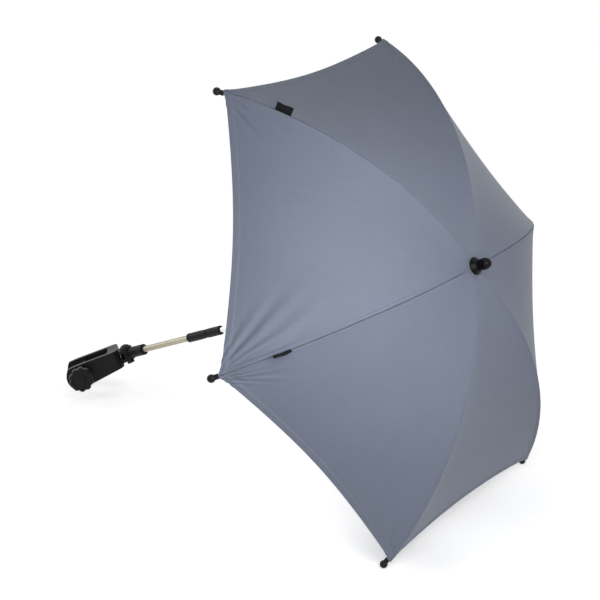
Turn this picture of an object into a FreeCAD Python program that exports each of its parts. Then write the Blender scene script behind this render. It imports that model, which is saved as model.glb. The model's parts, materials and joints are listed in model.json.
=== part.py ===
import FreeCAD, Part
import math
import os

# A pram parasol, open, lying on the ground on two of its rib tips and its clamp.
# Lengths are in millimetres and angles in degrees.
# Pieces are drawn in the shaft's own frame: z runs along the shaft towards the ferrule,
# z = 0 is the plane of the tip balls, and x points away from the ground.
# The last section lays the finished pieces on the ground, where +Z is up.

V = FreeCAD.Vector
X_AXIS = V(1, 0, 0)
Y_AXIS = V(0, 1, 0)
Z_AXIS = V(0, 0, 1)

# Fits
running_clearance = 0.08
body_gap = 0.3

# Canopy frame
rib_count = 6
first_rib_azimuth = 30.0
ring_radius = 350.0
rib_apex = 144.0
rib_bow = 47.0
rib_width = 2.6
rib_height = 3.0
rib_wall = 0.6
rib_root_thickness = 2.0
rib_root_length = 14.0
rib_eye_radius = 2.4
pivot_station = 178.0
pivot_drop = 7.0
pivot_tab_radius = 3.0
rivet_radius = 1.0
stretcher_thickness = 2.2
stretcher_height = 3.2
stretcher_end_radius = 2.0
stretcher_ear_thickness = 0.8
stretcher_ear_radius = 2.4
stretcher_fork_length = 7.0
closed_tip_radius = 17.0

# Rib tips
tip_ball_radius = 5.0
tip_neck_radius = 3.3
tip_neck_length = 9.0
tip_bore_radius = 2.4
tip_bore_depth = 12.0

# Cloth
cloth_thickness = 1.0
cloth_clearance = 1.0
cloth_hole_radius = 8.0
cloth_seam_gap = 0.4
gore_sag = 6.0
hem_corner_back = 11.0
hem_rise = 12.0
label_length = 20.0
label_height = 11.0
label_thickness = 0.8
label_share = 0.83

# Shaft
upper_tube_radius = 4.0
upper_tube_wall = 0.7
lower_tube_radius = 4.5
lower_tube_wall = 0.8
lower_tube_show = 93.0
crown_radius = 12.0
crown_depth = 7.0
crown_core_radius = 6.2
crown_wire_radius = 0.75
crown_wire_orbit = 9.0
ferrule_base_radius = 10.0
ferrule_base_height = 5.0
ferrule_spigot_radius = 7.0
ferrule_neck_radius = 5.6
ferrule_nose_radius = 7.0
ferrule_height = 24.0
ferrule_bore_depth = 12.0

# Runner, its stop and its catch
runner_flange_radius = 11.5
runner_flange_above = 4.0
runner_flange_below = 5.0
runner_sleeve_radius = 6.6
runner_length = 54.0
runner_grip_radius = 8.6
runner_grip_height = 5.0
stop_pin_radius = 0.9
stop_pin_reach = 5.4
stop_pin_space = 0.3
catch_width = 2.2
catch_height = 12.0
catch_reach = 1.8
catch_leaf_width = 3.6
catch_leaf_height = 24.0
catch_leaf_thickness = 0.7
catch_travel = 2.2

# Tilting knuckle in the shaft
knuckle_drop = 286.0
knuckle_length = 62.0
knuckle_radius = 6.5
knuckle_pin_drop = 31.0
knuckle_shoulder = 7.2
knuckle_tongue = 4.6
knuckle_tongue_end = 5.8
knuckle_socket_depth = 22.0
tilt_pin_radius = 1.5

# Socket and swivel over the clamp
socket_radius = 8.0
socket_length = 25.0
socket_depth = 21.0
swivel_radius = 10.0
swivel_tongue = 8.0
swivel_ear = 5.0
swivel_bolt_radius = 3.0
swivel_head_radius = 8.5
swivel_head_height = 5.0
swivel_nut_radius = 6.0
swivel_nut_height = 5.0
swivel_swing = 42.0
swivel_roll = 7.0

# Clamp, drawn about the swivel bolt: x along the bolt, y along the screw, z towards the shaft
clamp_half_width = 17.0
clamp_root_half_width = 13.0
clamp_arm = 9.0
clamp_bridge = 15.0
clamp_gap = 40.0
clamp_far_face = -32.0
clamp_screw_station = 72.0
clamp_end_length = 22.0
clamp_end_bulge = 8.0
clamp_corner_radius = 8.0
clamp_inner_corner_radius = 4.0
seat_radius = 11.0
seat_bottom = 2.0
liner_thickness = 4.6
liner_half_height = 11.0
liner_half_width = 14.0
jaw_plate = 5.0
screw_radius = 4.0
screw_seat_depth = 3.0
knob_radius = 18.0
knob_thickness = 14.0
knob_travel = 12.5
knob_lobes = 10
knob_scallop_radius = 5.0
knob_scallop_depth = 1.8
knob_edge_radius = 1.5


# Shapes that the pieces share
def box(x_span, y_span, z_span):
    size = [span[1] - span[0] for span in (x_span, y_span, z_span)]
    return Part.makeBox(*size, V(x_span[0], y_span[0], z_span[0]))


def rod(radius, start, end):
    return Part.makeCylinder(radius, (end - start).Length, start, end - start)


def shaft_rod(radius, z_low, z_high):
    return rod(radius, V(0, 0, z_low), V(0, 0, z_high))


def across(radius, half_length, centre):
    """A rod along y, centred on a point."""
    return rod(radius, centre - Y_AXIS * half_length, centre + Y_AXIS * half_length)


def turned(shape, azimuth):
    copy = shape.copy()
    copy.rotate(V(0, 0, 0), Z_AXIS, azimuth)
    return copy


def loop(points):
    return Part.makePolygon(points + points[:1])


def rounded(shape, radius, places):
    """The shape with a fillet on each edge along x that lies at one of the (y, z) places."""
    edges = []
    for edge in shape.Edges:
        room = edge.BoundBox
        spots = [(room.YMin - y, room.YMax - y, room.ZMin - z, room.ZMax - z) for y, z in places]
        if any(max(abs(off) for off in spot) < body_gap for spot in spots):
            edges.append(edge)
    return shape.makeFillet(radius, edges)


# The circle that each rib is bent to, in the plane of the rib: r from the shaft, z along it
chord = math.hypot(ring_radius, rib_apex)
bend_radius = chord**2 / (8 * rib_bow) + rib_bow / 2
bend_r = ring_radius / 2 + (rib_bow - bend_radius) * rib_apex / chord
bend_z = rib_apex / 2 + (rib_bow - bend_radius) * ring_radius / chord


def bend_angle(r):
    return math.asin((r - bend_r) / bend_radius)


def on_bend(angle, lift=0.0):
    """A point of the rib's middle line, or at a height over it towards the cloth."""
    reach = bend_radius + lift
    return V(bend_r + reach * math.sin(angle), 0, bend_z + reach * math.cos(angle))


tip_angle = bend_angle(ring_radius)
hinge_angle = bend_angle(crown_wire_orbit)
hinge = on_bend(hinge_angle)
pivot_angle = bend_angle(pivot_station)
pivot = on_bend(pivot_angle, -pivot_drop)
tip_centre = on_bend(tip_angle)

# Rib and stretcher are two equal sides, so the runner's pivots stay under the crown's
stretcher_length = (pivot - hinge).Length
runner_pivot = V(hinge.x, 0, 2 * pivot.z - hinge.z)
open_slope = math.degrees(math.asin((hinge.z - pivot.z) / stretcher_length))
tip_slope = math.degrees(math.atan2(hinge.z - tip_centre.z, tip_centre.x - hinge.x))
tip_reach = (tip_centre - hinge).Length
fold_angle = math.degrees(math.acos((closed_tip_radius - hinge.x) / tip_reach)) - tip_slope
closed_drop = 2 * stretcher_length * math.sin(math.radians(open_slope + fold_angle))
runner_travel = closed_drop - (hinge.z - runner_pivot.z)

# Heights along the shaft
cloth_inner = rib_height / 2 + cloth_clearance
cloth_outer = cloth_inner + cloth_thickness
crown_top = on_bend(hinge_angle, cloth_inner).z - 2 * body_gap
crown_bottom = hinge.z - crown_depth
ferrule_base = on_bend(bend_angle(ferrule_base_radius), cloth_outer).z + body_gap
ferrule_tip = ferrule_base + ferrule_height
tube_top = ferrule_base + ferrule_bore_depth
runner_top = runner_pivot.z + runner_flange_above
runner_bottom = runner_top - runner_length
catch_top = runner_bottom - body_gap
catch_bottom = catch_top - catch_height
knuckle_top = -knuckle_drop
knuckle_bottom = knuckle_top - knuckle_length
tilt_centre = V(0, 0, knuckle_top - knuckle_pin_drop)
upper_tube_bottom = knuckle_top - knuckle_socket_depth
lower_tube_top = knuckle_bottom + knuckle_socket_depth
socket_top = knuckle_bottom - lower_tube_show
socket_bottom = socket_top - socket_length
lower_tube_bottom = socket_top - socket_depth
swivel_centre = V(0, 0, socket_bottom - swivel_radius - 2 * body_gap)
rib_azimuths = [first_rib_azimuth + 360.0 / rib_count * k for k in range(rib_count)]


# Ribs, tips and stretchers, drawn in the plane y = 0
def strip(lifts, half_width, start, end):
    """A rectangular bar that follows the rib's bend from one angle to another."""
    outline = [(lifts[0], -1), (lifts[1], -1), (lifts[1], 1), (lifts[0], 1)]
    corners = [on_bend(start, lift) + Y_AXIS * half_width * side for lift, side in outline]
    turn = math.degrees(end - start)
    return Part.Face(loop(corners)).revolve(V(bend_r, 0, bend_z), Y_AXIS, turn)


def make_rib():
    top = rib_height / 2
    web = top - rib_wall
    root_end = hinge_angle + rib_root_length / bend_radius
    channel_start = root_end - rib_wall / bend_radius
    half_tab = pivot_tab_radius / bend_radius
    inside = rib_width / 2 - rib_wall
    rib = strip((-top, top), rib_root_thickness / 2, hinge_angle, root_end)
    channel = strip((-top, top), rib_width / 2, channel_start, tip_angle)
    rib = rib.fuse(channel.cut(strip((-top, web), inside, root_end, tip_angle)))
    rib = rib.fuse(across(rib_eye_radius, rib_root_thickness / 2, hinge))
    tab = strip((-pivot_drop, web), inside, pivot_angle - half_tab, pivot_angle + half_tab)
    rib = rib.fuse([tab, across(pivot_tab_radius, inside, pivot)])
    eye = across(crown_wire_radius + running_clearance, rib_root_thickness, hinge)
    rivet_hole = across(rivet_radius + running_clearance, rib_width, pivot)
    return rib.cut([eye, rivet_hole]).removeSplitter()


def make_tip():
    outward = V(math.cos(tip_angle), 0, -math.sin(tip_angle))
    neck = rod(tip_neck_radius, tip_centre - outward * tip_neck_length, tip_centre)
    bore_end = tip_centre - outward * (tip_neck_length - tip_bore_depth)
    bore = rod(tip_bore_radius, tip_centre - outward * 2 * tip_neck_length, bore_end)
    ball = Part.makeSphere(tip_ball_radius, tip_centre)
    return ball.fuse(neck).cut(bore)


def make_stretcher():
    """Drawn along x from the runner's pivot, then turned up to the rib's pivot."""
    half = stretcher_thickness / 2
    side = stretcher_height / 2
    bar_end = stretcher_length - stretcher_fork_length
    far = V(stretcher_length, 0, 0)
    inside = rib_width / 2 - rib_wall + body_gap
    outside = inside + stretcher_ear_thickness
    bar = box((0, bar_end), (-half, half), (-side, side))
    bar = bar.fuse(across(stretcher_end_radius, half, V(0, 0, 0)))
    ears = box((bar_end - stretcher_fork_length, far.x), (-outside, outside), (-side, side))
    ears = ears.fuse(across(stretcher_ear_radius, outside, far))
    fork_gap = box((bar_end, far.x + stretcher_fork_length), (-inside, inside), (-far.x, far.x))
    stretcher = bar.fuse(ears.cut(fork_gap)).fuse(across(rivet_radius, outside, far))
    stretcher = stretcher.removeSplitter()
    stretcher.rotate(V(0, 0, 0), Y_AXIS, -open_slope)
    stretcher.translate(runner_pivot)
    return stretcher


# Cloth
def cloth_point(across_share, angle, lift):
    """A point of the panel over azimuths 0 to one rib space: a straight pull between two ribs, drawn in."""
    space = 2 * math.pi / rib_count
    on_rib = on_bend(angle, lift)
    azimuth = space * across_share
    pull = math.cos(space / 2) / math.cos(azimuth - space / 2)
    sag = gore_sag * 4 * across_share * (1 - across_share) * on_rib.x / ring_radius
    r = on_rib.x * pull - sag * math.sin(angle)
    return V(r * math.cos(azimuth), r * math.sin(azimuth), on_rib.z - sag * math.cos(angle))


def make_panel():
    """A thin shell lofted through bent strips, with its hem drawn up between two tips."""
    first = bend_angle(cloth_hole_radius)
    sections = []
    steps = 6
    for step in range(steps + 1):
        share = step / steps
        back = hem_corner_back + hem_rise * 4 * share * (1 - share)
        last = tip_angle - back / bend_radius
        stations = (first, (first + last) / 2, last)
        outer = [cloth_point(share, angle, cloth_outer) for angle in stations]
        inner = [cloth_point(share, angle, cloth_inner) for angle in stations]
        edges = [
            Part.Arc(*outer).toShape(),
            Part.makeLine(outer[2], inner[2]),
            Part.Arc(*reversed(inner)).toShape(),
            Part.makeLine(inner[0], outer[0]),
        ]
        sections.append(Part.Wire(edges))
    panel = Part.makeLoft(sections, True, False)
    middle = math.pi / rib_count
    shift = cloth_seam_gap / 2 / math.sin(middle)
    panel.translate(V(math.cos(middle), math.sin(middle), 0) * shift)
    return panel


def make_label():
    """A folded tab that stands on a seam."""
    angle = bend_angle(ring_radius * label_share)
    half = label_length / 2 / bend_radius
    low = cloth_outer + body_gap
    return strip((low, low + label_height), label_thickness / 2, angle - half, angle + half)


# Upper shaft
def make_upper_tube():
    tube = shaft_rod(upper_tube_radius, upper_tube_bottom, tube_top)
    tube = tube.cut(shaft_rod(upper_tube_radius - upper_tube_wall, upper_tube_bottom, tube_top))
    half_slot = catch_width / 2 + body_gap
    slot_span = (catch_bottom - body_gap, catch_top + body_gap)
    slot = box((0, 2 * upper_tube_radius), (-half_slot, half_slot), slot_span)
    return tube.cut([slot, make_stop_pin()])


def make_stop_pin():
    height = runner_top + stop_pin_space + stop_pin_radius
    return across(stop_pin_radius, stop_pin_reach, V(0, 0, height))


def make_catch():
    """A leaf inside the tube and a wedge that stands out through the tube's slot."""
    inner = upper_tube_radius - upper_tube_wall
    leaf_out = math.sqrt(inner**2 - (catch_leaf_width / 2) ** 2) - body_gap / 2
    half_leaf = catch_leaf_width / 2
    half = catch_width / 2
    nose = upper_tube_radius + catch_reach
    middle = (catch_top + catch_bottom) / 2
    leaf_span = (middle - catch_leaf_height / 2, middle + catch_leaf_height / 2)
    leaf = box((leaf_out - catch_leaf_thickness, leaf_out), (-half_leaf, half_leaf), leaf_span)
    wedge = [
        V(leaf_out, -half, catch_bottom),
        V(nose, -half, catch_top),
        V(leaf_out, -half, catch_top),
    ]
    return leaf.fuse(Part.Face(loop(wedge)).extrude(Y_AXIS * catch_width)).removeSplitter()


def make_crown():
    crown = shaft_rod(crown_radius, crown_bottom, crown_top)
    crown = crown.cut(shaft_rod(upper_tube_radius, crown_bottom, crown_top))
    half = rib_root_thickness / 2 + body_gap
    slot = box((crown_core_radius, 2 * crown_radius), (-half, half), (crown_bottom, crown_top))
    groove = make_crown_wire(running_clearance)
    return crown.cut([turned(slot, azimuth) for azimuth in rib_azimuths]).cut(groove)


def make_crown_wire(extra=0.0):
    return Part.makeTorus(crown_wire_orbit, crown_wire_radius + extra, Z_AXIS * hinge.z)


def make_ferrule():
    base_top = ferrule_base + ferrule_base_height
    neck = base_top + ferrule_base_height / 2
    bulb = ferrule_tip - ferrule_nose_radius
    waist = (neck + bulb) / 2
    waist_radius = (ferrule_neck_radius + ferrule_nose_radius) / 2
    slant = ferrule_nose_radius * math.sqrt(0.5)
    outline = [
        Part.makeLine(V(0, 0, crown_top), V(ferrule_spigot_radius, 0, crown_top)),
        Part.makeLine(V(ferrule_spigot_radius, 0, crown_top), V(ferrule_spigot_radius, 0, ferrule_base)),
        Part.makeLine(V(ferrule_spigot_radius, 0, ferrule_base), V(ferrule_base_radius, 0, ferrule_base)),
        Part.makeLine(V(ferrule_base_radius, 0, ferrule_base), V(ferrule_neck_radius, 0, base_top)),
        Part.makeLine(V(ferrule_neck_radius, 0, base_top), V(ferrule_neck_radius, 0, neck)),
        Part.makeLine(V(ferrule_neck_radius, 0, neck), V(waist_radius, 0, waist)),
        Part.makeLine(V(waist_radius, 0, waist), V(ferrule_nose_radius, 0, bulb)),
        Part.makeLine(V(0, 0, ferrule_tip), V(0, 0, crown_top)),
    ]
    nose = Part.Arc(V(ferrule_nose_radius, 0, bulb), V(slant, 0, bulb + slant), V(0, 0, ferrule_tip))
    outline.insert(-1, nose.toShape())
    ferrule = Part.Face(Part.Wire(outline)).revolve(V(0, 0, 0), Z_AXIS, 360)
    return ferrule.cut(shaft_rod(upper_tube_radius, crown_top, tube_top))


def make_runner():
    flange_bottom = runner_pivot.z - runner_flange_below
    grip_top = runner_bottom + runner_grip_height
    half_slot = stretcher_thickness / 2 + body_gap
    half_groove = catch_width / 2 + body_gap
    groove_depth = upper_tube_radius + catch_reach + body_gap
    runner = shaft_rod(runner_sleeve_radius, runner_bottom, runner_top)
    flange = shaft_rod(runner_flange_radius, flange_bottom, runner_top)
    far = 2 * runner_flange_radius
    slot = box((runner_sleeve_radius, far), (-half_slot, half_slot), (flange_bottom, runner_top))
    flange = flange.cut([turned(slot, azimuth) for azimuth in rib_azimuths])
    runner = runner.fuse([flange, shaft_rod(runner_grip_radius, runner_bottom, grip_top)])
    bore = shaft_rod(upper_tube_radius + running_clearance, runner_bottom, runner_top)
    groove = box((0, groove_depth), (-half_groove, half_groove), (runner_bottom, runner_top))
    return runner.cut([bore, groove]).removeSplitter()


# Knuckle and lower shaft
def make_knuckle_upper():
    shoulder = tilt_centre.z + knuckle_shoulder
    half = knuckle_tongue / 2
    body = shaft_rod(knuckle_radius, shoulder, knuckle_top)
    body = body.cut(shaft_rod(upper_tube_radius, upper_tube_bottom, knuckle_top))
    slab = box((-knuckle_radius, knuckle_radius), (-half, half), (tilt_centre.z, shoulder))
    tongue = slab.common(shaft_rod(knuckle_tongue_end, tilt_centre.z, shoulder))
    tongue = tongue.fuse(across(knuckle_tongue_end, half, tilt_centre))
    knuckle = body.fuse(tongue).removeSplitter()
    return knuckle.cut(across(tilt_pin_radius + running_clearance, knuckle_radius, tilt_centre))


def make_knuckle_lower():
    half = knuckle_tongue / 2 + body_gap
    far = knuckle_radius
    body = shaft_rod(knuckle_radius, knuckle_bottom, tilt_centre.z)
    ears = across(knuckle_radius, knuckle_radius, tilt_centre)
    ears = ears.common(shaft_rod(knuckle_radius, tilt_centre.z - far, tilt_centre.z + far))
    slot_bottom = tilt_centre.z - knuckle_tongue_end - 3 * body_gap
    slot = box((-2 * far, 2 * far), (-half, half), (slot_bottom, tilt_centre.z + 2 * far))
    knuckle = body.fuse(ears).removeSplitter().cut(slot)
    bore = shaft_rod(lower_tube_radius, knuckle_bottom, lower_tube_top)
    return knuckle.cut([bore, make_tilt_pin()])


def make_tilt_pin():
    return across(tilt_pin_radius, knuckle_radius - body_gap, tilt_centre)


def make_lower_tube():
    tube = shaft_rod(lower_tube_radius, lower_tube_bottom, lower_tube_top)
    return tube.cut(shaft_rod(lower_tube_radius - lower_tube_wall, lower_tube_bottom, lower_tube_top))


def make_socket():
    """A cup for the lower tube, with a round tongue that turns on the swivel bolt."""
    half = swivel_tongue / 2
    reach = V(half, 0, 0)
    cup = shaft_rod(socket_radius, socket_bottom, socket_top)
    cup = cup.cut(shaft_rod(lower_tube_radius, lower_tube_bottom, socket_top))
    disc = rod(swivel_radius, swivel_centre - reach, swivel_centre + reach)
    stem = box((-half, half), (-socket_radius, socket_radius), (swivel_centre.z, socket_bottom + half))
    stem = stem.common(shaft_rod(socket_radius, swivel_centre.z, socket_top))
    stem = stem.cut(shaft_rod(lower_tube_radius, lower_tube_bottom, socket_top))
    hole = rod(swivel_bolt_radius + running_clearance, swivel_centre - reach, swivel_centre + reach)
    socket = cup.fuse([disc, stem]).removeSplitter().cut(hole)
    socket.rotate(V(0, 0, 0), Z_AXIS, swivel_roll)
    return socket


# Clamp, about the swivel bolt
clamp_near_face = clamp_far_face + clamp_gap
clamp_near_back = clamp_near_face + clamp_arm
clamp_far_back = clamp_far_face - clamp_arm
bridge_top = -(swivel_radius + 2 * body_gap)
bridge_bottom = bridge_top - clamp_bridge
seat_y = clamp_far_face + seat_bottom + seat_radius
jaw_back = seat_y + seat_radius + seat_bottom + jaw_plate
knob_face = clamp_near_back + knob_travel
ear_in = swivel_tongue / 2 + body_gap
ear_out = ear_in + swivel_ear
screw_axis = V(0, 0, -clamp_screw_station)


def make_clamp_frame():
    """A C of two arms and a bridge, rounded at its end, with two ears for the swivel bolt."""
    end = screw_axis.z - clamp_end_length
    y_span = (clamp_far_back, clamp_near_back)
    wide = (-clamp_half_width, clamp_half_width)
    frame = box(wide, y_span, (end, bridge_top))
    gap_span = (clamp_far_face, clamp_near_face)
    frame = frame.cut(box(wide, gap_span, (end, bridge_bottom)))
    frame = rounded(frame, clamp_corner_radius, [(y, bridge_top) for y in y_span])
    frame = rounded(frame, clamp_inner_corner_radius, [(y, bridge_bottom) for y in gap_span])
    corner = end + clamp_end_bulge
    outline = [
        V(-clamp_half_width, y_span[0], corner),
        V(-clamp_half_width, y_span[0], screw_axis.z),
        V(-clamp_root_half_width, y_span[0], bridge_top),
        V(clamp_root_half_width, y_span[0], bridge_top),
        V(clamp_half_width, y_span[0], screw_axis.z),
        V(clamp_half_width, y_span[0], corner),
    ]
    edges = [Part.makeLine(a, b) for a, b in zip(outline, outline[1:])]
    edges.append(Part.Arc(outline[-1], V(0, y_span[0], end), outline[0]).toShape())
    plate = Part.Face(Part.Wire(edges)).extrude(Y_AXIS * (y_span[1] - y_span[0]))
    frame = frame.common(plate)
    for side in (-1, 1):
        low, high = sorted((side * ear_in, side * ear_out))
        ear = rod(swivel_radius, V(low, 0, 0), V(high, 0, 0))
        neck = box((low, high), (-swivel_radius, swivel_radius), (bridge_top - swivel_ear, 0))
        frame = frame.fuse([ear, neck])
    screw_hole = rod(screw_radius + running_clearance, screw_axis, screw_axis + Y_AXIS * 2 * clamp_gap)
    bolt_hole = rod(swivel_bolt_radius, V(-2 * ear_out, 0, 0), V(2 * ear_out, 0, 0))
    return frame.removeSplitter().cut([screw_hole, bolt_hole])


def make_liner(back, direction):
    """A rubber block with a round seat, its back on a jaw."""
    y_span = sorted((back, back + direction * liner_thickness))
    low, high = screw_axis.z - liner_half_height, screw_axis.z + liner_half_height
    block = box((-liner_half_width, liner_half_width), y_span, (low, high))
    seat = screw_axis + Y_AXIS * seat_y
    reach = X_AXIS * 2 * liner_half_width
    return block.cut(rod(seat_radius, seat - reach, seat + reach))


def make_jaw_plate():
    low, high = screw_axis.z - liner_half_height, screw_axis.z + liner_half_height
    plate = box((-liner_half_width, liner_half_width), (jaw_back - jaw_plate, jaw_back), (low, high))
    seat = screw_axis + Y_AXIS * (jaw_back - screw_seat_depth - running_clearance)
    return plate.cut(rod(screw_radius + running_clearance, seat, screw_axis + Y_AXIS * jaw_back))


def make_screw():
    start = screw_axis + Y_AXIS * (jaw_back - screw_seat_depth)
    return rod(screw_radius, start, screw_axis + Y_AXIS * (knob_face + knob_thickness / 2))


def make_knob():
    low = screw_axis + Y_AXIS * knob_face
    high = low + Y_AXIS * knob_thickness
    knob = rod(knob_radius, low, high)
    orbit = knob_radius + knob_scallop_radius - knob_scallop_depth
    for lobe in range(knob_lobes):
        turn = 2 * math.pi * (lobe + 0.5) / knob_lobes
        offset = V(math.sin(turn), 0, math.cos(turn)) * orbit
        knob = knob.cut(rod(knob_scallop_radius, low + offset, high + offset))
    rim = [e for e in knob.Edges if abs(e.BoundBox.YMin - high.y) < body_gap]
    knob = knob.makeFillet(knob_edge_radius, rim)
    return knob.cut(make_screw())


def make_swivel_bolt():
    shank = rod(swivel_bolt_radius, V(-ear_out - swivel_nut_height, 0, 0), V(ear_out, 0, 0))
    dome_radius = (swivel_head_radius**2 + swivel_head_height**2) / (2 * swivel_head_height)
    dome = Part.makeSphere(dome_radius, V(ear_out + swivel_head_height - dome_radius, 0, 0))
    far = 2 * dome_radius
    return shank.fuse(dome.common(box((ear_out, far), (-far, far), (-far, far))))


def make_swivel_nut():
    corners = []
    for k in range(6):
        turn = math.radians(60 * k)
        corners.append(V(-ear_out, swivel_nut_radius * math.cos(turn), swivel_nut_radius * math.sin(turn)))
    nut = Part.Face(loop(corners)).extrude(-X_AXIS * swivel_nut_height)
    return nut.cut(rod(swivel_bolt_radius, V(-ear_out - swivel_nut_height, 0, 0), V(-ear_out, 0, 0)))


clamp_turn = FreeCAD.Rotation(Z_AXIS, swivel_roll).multiply(FreeCAD.Rotation(X_AXIS, swivel_swing))


def on_clamp(shape):
    placed = shape.copy()
    placed.rotate(V(0, 0, 0), X_AXIS, swivel_swing)
    placed.rotate(V(0, 0, 0), Z_AXIS, swivel_roll)
    placed.translate(swivel_centre)
    return placed


def clamp_point(point):
    """A point of the clamp in the shaft's frame."""
    return clamp_turn.multVec(point) + swivel_centre


# Where the ground is: the tilt of the shaft at which clamp and tips touch it together
frame_points = on_clamp(make_clamp_frame()).tessellate(body_gap / 10)[0]


def knob_height(tilt):
    up = V(math.cos(tilt), 0, math.sin(tilt))
    lean = clamp_turn.multVec(Y_AXIS).dot(up)
    ends = [clamp_point(screw_axis + Y_AXIS * y) for y in (knob_face, knob_face + knob_thickness)]
    return min(end.dot(up) for end in ends) - knob_radius * math.sqrt(1 - lean**2)


def clamp_height(tilt):
    up = V(math.cos(tilt), 0, math.sin(tilt))
    return min(knob_height(tilt), min(point.dot(up) for point in frame_points))


def tip_height(tilt):
    lowest = ring_radius * max(math.cos(math.radians(180 - a)) for a in rib_azimuths)
    return -lowest * math.cos(tilt) - tip_ball_radius


def ground_tilt():
    low, high = 0.0, math.pi / 3
    for _ in range(60):
        middle = (low + high) / 2
        if clamp_height(middle) > tip_height(middle):
            low = middle
        else:
            high = middle
    return low


shaft_tilt = ground_tilt()


# All pieces, in the shaft's frame
def make_pieces():
    pieces = {
        "upper_tube": make_upper_tube(),
        "stop_pin": make_stop_pin(),
        "open_catch": make_catch(),
        "crown": make_crown(),
        "crown_wire": make_crown_wire(),
        "ferrule": make_ferrule(),
        "runner": make_runner(),
        "knuckle_upper": make_knuckle_upper(),
        "knuckle_lower": make_knuckle_lower(),
        "tilt_pin": make_tilt_pin(),
        "lower_tube": make_lower_tube(),
        "clamp_socket": make_socket(),
        "clamp_frame": on_clamp(make_clamp_frame()),
        "swivel_bolt": on_clamp(make_swivel_bolt()),
        "swivel_nut": on_clamp(make_swivel_nut()),
        "fixed_liner": on_clamp(make_liner(clamp_far_face, 1)),
        "jaw_plate": on_clamp(make_jaw_plate()),
        "jaw_liner": on_clamp(make_liner(jaw_back - jaw_plate, -1)),
        "clamp_screw": on_clamp(make_screw()),
        "clamp_knob": on_clamp(make_knob()),
    }
    rib, tip, stretcher = make_rib(), make_tip(), make_stretcher()
    panel, label = make_panel(), make_label()
    for number, azimuth in enumerate(rib_azimuths, 1):
        pieces[f"rib_{number}"] = turned(rib, azimuth)
        pieces[f"rib_tip_{number}"] = turned(tip, azimuth)
        pieces[f"stretcher_{number}"] = turned(stretcher, azimuth)
        pieces[f"canopy_panel_{number}"] = turned(panel, azimuth)
    for name, azimuth in (("seam_label_1", rib_azimuths[0]), ("seam_label_2", rib_azimuths[1])):
        pieces[name] = turned(label, azimuth)
    return pieces


# Lay the parasol on the ground: the shaft's x points up, its z along +X, and the knob is on the -Y side
def ground_placement(pieces):
    tilt = FreeCAD.Rotation(V(-math.sin(shaft_tilt), 0, math.cos(shaft_tilt)), -Y_AXIS,
                            V(math.cos(shaft_tilt), 0, math.sin(shaft_tilt)), "XYZ")
    laid = Part.makeCompound(list(pieces.values()))
    laid.Placement = FreeCAD.Placement(V(0, 0, 0), tilt)
    room = laid.optimalBoundingBox(False, False)
    centre = V((room.XMin + room.XMax) / 2, (room.YMin + room.YMax) / 2, room.ZMin)
    return FreeCAD.Placement(-centre, tilt)


pieces = make_pieces()
placement = ground_placement(pieces)
os.makedirs("parts", exist_ok=True)
for name, shape in pieces.items():
    placed = shape.copy()
    placed.Placement = placement.multiply(placed.Placement)
    placed.exportStep(f"parts/{name}.step")
print("ribs bend at", round(bend_radius, 1), "stretcher", round(stretcher_length, 2))
print("fold", round(fold_angle, 2), "runner travel", round(runner_travel, 2))
print("shaft tilt", round(math.degrees(shaft_tilt), 2), "placement", placement)
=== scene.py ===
"""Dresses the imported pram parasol: cloth gores, seams, labels, moulded clamp pieces, stage and camera.

Lengths are in metres. The shaft's own frame has z along the shaft towards the ferrule,
z = 0 in the plane of the tip balls and x away from the ground.
"""
import json
import math

import bmesh
import bpy
import numpy as np
from mathutils import Matrix, Vector


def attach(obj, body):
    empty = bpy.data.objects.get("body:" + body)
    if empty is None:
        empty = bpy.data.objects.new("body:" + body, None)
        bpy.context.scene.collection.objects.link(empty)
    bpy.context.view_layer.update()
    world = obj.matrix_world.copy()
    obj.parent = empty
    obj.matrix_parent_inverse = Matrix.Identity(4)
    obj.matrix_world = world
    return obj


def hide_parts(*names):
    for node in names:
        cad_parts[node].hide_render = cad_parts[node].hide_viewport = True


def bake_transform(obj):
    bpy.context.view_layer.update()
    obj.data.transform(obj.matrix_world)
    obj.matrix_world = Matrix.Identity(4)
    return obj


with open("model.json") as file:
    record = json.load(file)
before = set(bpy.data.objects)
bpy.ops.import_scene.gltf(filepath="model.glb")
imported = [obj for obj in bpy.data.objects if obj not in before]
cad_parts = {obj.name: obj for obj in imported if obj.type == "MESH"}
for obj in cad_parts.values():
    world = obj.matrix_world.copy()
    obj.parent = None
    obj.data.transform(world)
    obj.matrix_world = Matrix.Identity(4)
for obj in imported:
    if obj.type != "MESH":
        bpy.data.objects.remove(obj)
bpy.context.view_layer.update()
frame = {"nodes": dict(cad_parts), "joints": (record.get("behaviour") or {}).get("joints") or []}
nodes = frame["nodes"]
joints = {joint["name"]: joint for joint in frame["joints"]}
random = np.random.default_rng(7)

# Sizes that the solids have
RIB_COUNT = 6
RIB_SPACE = 2 * math.pi / RIB_COUNT
FIRST_AZIMUTH = math.radians(30)
RING = 0.350
APEX = 0.144
BOW = 0.047
# Each rib is an arc of radius BEND about the point (BEND_R, BEND_Z)
CHORD = math.hypot(RING, APEX)
BEND = CHORD**2 / (8 * BOW) + BOW / 2
BEND_R = RING / 2 + (BOW - BEND) * APEX / CHORD
BEND_Z = APEX / 2 + (BOW - BEND) * RING / CHORD
HOLE = 0.008
SAG = 0.006
HEM_CORNER = 0.011
HEM_RISE = 0.012
TILT_DROP = 0.317
LABEL_STATION = 0.2905

# Sizes that only the dressed cloth has
CLOTH_LIFT = 0.0031
APEX_SAG = 1.8
APEX_SAG_REACH = 0.09
CORNER_DRAW = 0.003
CORNER_SPREAD = 0.007
RIDGE = 0.0013
RIDGE_SPREAD = 0.008
RIDGE_WIDTHS = (0.008, 0.05)


# Frames: the shaft's, and the clamp's about its swivel bolt
def axes(x, y, z, origin):
    columns = Matrix((x, y, z)).transposed().to_4x4()
    columns.translation = origin
    return columns


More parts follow.
